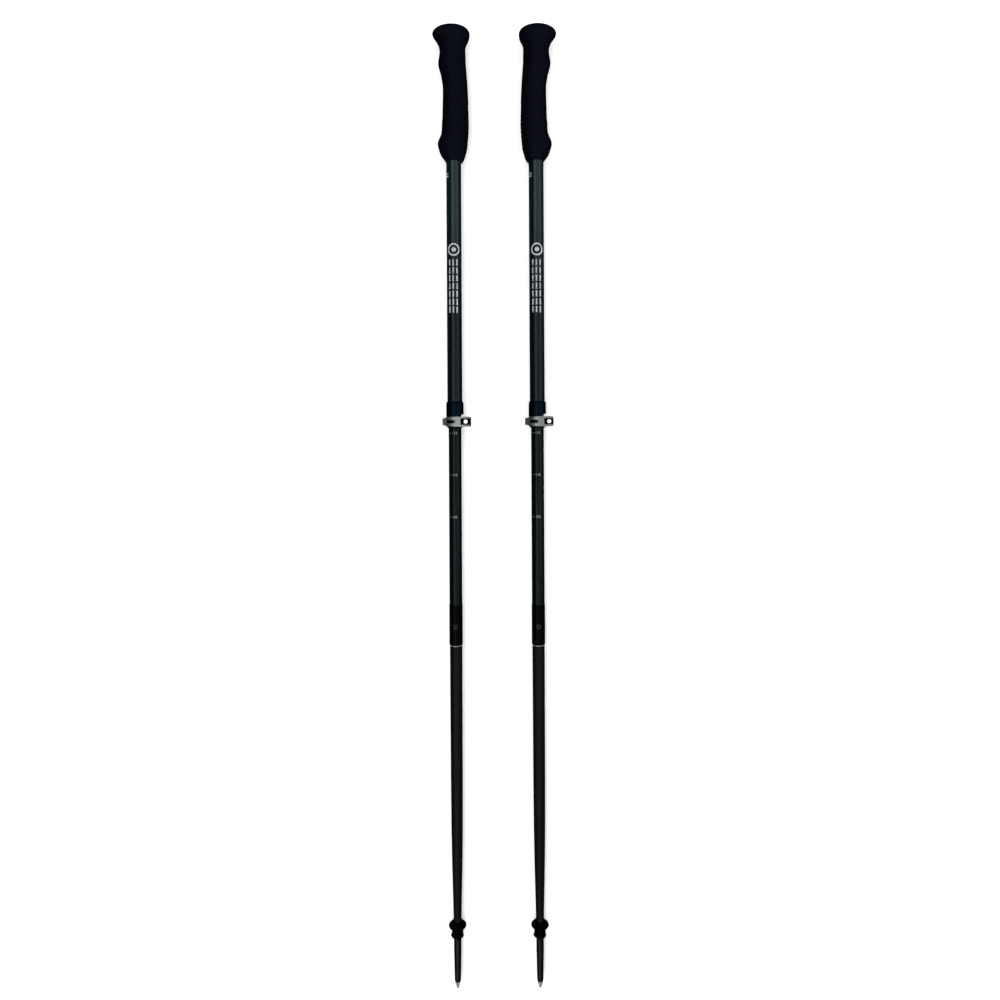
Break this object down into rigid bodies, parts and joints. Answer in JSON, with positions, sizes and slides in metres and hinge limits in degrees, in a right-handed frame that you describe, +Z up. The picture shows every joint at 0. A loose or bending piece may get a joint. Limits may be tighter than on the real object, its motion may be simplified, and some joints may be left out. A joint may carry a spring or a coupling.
{
  "type": "trekking poles",
  "caption": "Pair of telescopic carbon trekking poles with foam grips, one cam-lever clamp and a screw-off lower section each, lying side by side",
  "frame": {"origin": "centre of the pair's outline, on the surface that the poles lie on", "axes": "+Y along the poles from the tips to the grips, +X from the left pole to the right pole, +Z up; the clamp levers face up"},
  "size_m": [0.1486, 1.1511, 0.035],
  "materials": {
    "carbon": "satin",
    "foam": "matte",
    "nylon": "satin",
    "sleeve": "matte",
    "tip_nylon": "satin",
    "black_alloy": "satin",
    "grey_alloy": "satin",
    "bright_alloy": "satin",
    "steel": "polished",
    "carbide": "satin"
  },
  "bodies": {
    "left_upper": {"left_upper_tube": "carbon", "left_grip_foam": "foam", "left_tube_end_plug": "nylon", "left_clamp_ferrule": "nylon", "left_clamp_band": "black_alloy", "left_thrust_pad": "nylon", "left_barrel_nut": "black_alloy"},
    "left_lever": {"left_clamp_lever": "grey_alloy"},
    "left_screw": {"left_tension_screw": "steel"},
    "left_mid": {"left_mid_tube": "carbon", "left_mid_top_bushing": "nylon", "left_joint_sleeve": "sleeve", "left_female_insert": "bright_alloy"},
    "left_ring": {"left_joint_ring": "bright_alloy"},
    "left_lower": {"left_lower_tube": "carbon", "left_male_insert": "bright_alloy", "left_tip_body": "tip_nylon", "left_tip_collar": "bright_alloy", "left_carbide_point": "carbide"},
    "left_basket": {"left_basket_hub": "nylon"},
    "right_upper": {"right_upper_tube": "carbon", "right_grip_foam": "foam", "right_tube_end_plug": "nylon", "right_clamp_ferrule": "nylon", "right_clamp_band": "black_alloy", "right_thrust_pad": "nylon", "right_barrel_nut": "black_alloy"},
    "right_lever": {"right_clamp_lever": "grey_alloy"},
    "right_screw": {"right_tension_screw": "steel"},
    "right_mid": {"right_mid_tube": "carbon", "right_mid_top_bushing": "nylon", "right_joint_sleeve": "sleeve", "right_female_insert": "bright_alloy"},
    "right_ring": {"right_joint_ring": "bright_alloy"},
    "right_lower": {"right_lower_tube": "carbon", "right_male_insert": "bright_alloy", "right_tip_body": "tip_nylon", "right_tip_collar": "bright_alloy", "right_carbide_point": "carbide"},
    "right_basket": {"right_basket_hub": "nylon"}
  },
  "joints": [
    {"name": "left_lever_swing", "type": "hinge", "parent": "left_upper", "child": "left_lever", "pos_m": [-0.03605, 0.10173, 0.02405], "axis": [0, 1, 0.0066], "range_deg": [0, 165]},
    {"name": "left_tension_screw_turn", "type": "hinge", "parent": "left_upper", "child": "left_screw", "pos_m": [-0.03605, 0.1018, 0.01445], "axis": [0, -0.0066, 1], "continuous": true},
    {"name": "left_telescope", "type": "slide", "parent": "left_upper", "child": "left_mid", "axis": [0, -1, -0.0066], "range_m": [-0.2065, 0.1135]},
    {"name": "left_ring_travel", "type": "slide", "parent": "left_mid", "child": "left_ring", "axis": [0, -1, -0.0066], "range_m": [0, 0.01799]},
    {"name": "left_unscrew", "type": "hinge", "parent": "left_ring", "child": "left_lower", "pos_m": [-0.04935, -0.16485, 0.0127], "axis": [0, -1, -0.0066], "range_deg": [0, 3240]},
    {"name": "left_basket_off", "type": "slide", "parent": "left_lower", "child": "left_basket", "axis": [0, -1, -0.0066], "range_m": [0, 0.085]},
    {"name": "right_lever_swing", "type": "hinge", "parent": "right_upper", "child": "right_lever", "pos_m": [0.06265, 0.10173, 0.02405], "axis": [0, 1, 0.0066], "range_deg": [0, 165]},
    {"name": "right_tension_screw_turn", "type": "hinge", "parent": "right_upper", "child": "right_screw", "pos_m": [0.06265, 0.1018, 0.01445], "axis": [0, -0.0066, 1], "continuous": true},
    {"name": "right_telescope", "type": "slide", "parent": "right_upper", "child": "right_mid", "axis": [0, -1, -0.0066], "range_m": [-0.2065, 0.1135]},
    {"name": "right_ring_travel", "type": "slide", "parent": "right_mid", "child": "right_ring", "axis": [0, -1, -0.0066], "range_m": [0, 0.01799]},
    {"name": "right_unscrew", "type": "hinge", "parent": "right_ring", "child": "right_lower", "pos_m": [0.04935, -0.16485, 0.0127], "axis": [0, -1, -0.0066], "range_deg": [0, 3240]},
    {"name": "right_basket_off", "type": "slide", "parent": "right_lower", "child": "right_basket", "axis": [0, -1, -0.0066], "range_m": [0, 0.085]},
    {"name": "poles_apart", "type": "slide", "parent": "left_upper", "child": "right_upper", "axis": [1, 0, 0], "range_m": [0, 0.15]}
  ],
  "couplings": [
    {"joint": "left_unscrew", "follows": "left_ring_travel", "rad_per_m": 3141.6},
    {"joint": "right_unscrew", "follows": "right_ring_travel", "rad_per_m": 3141.6}
  ]
}
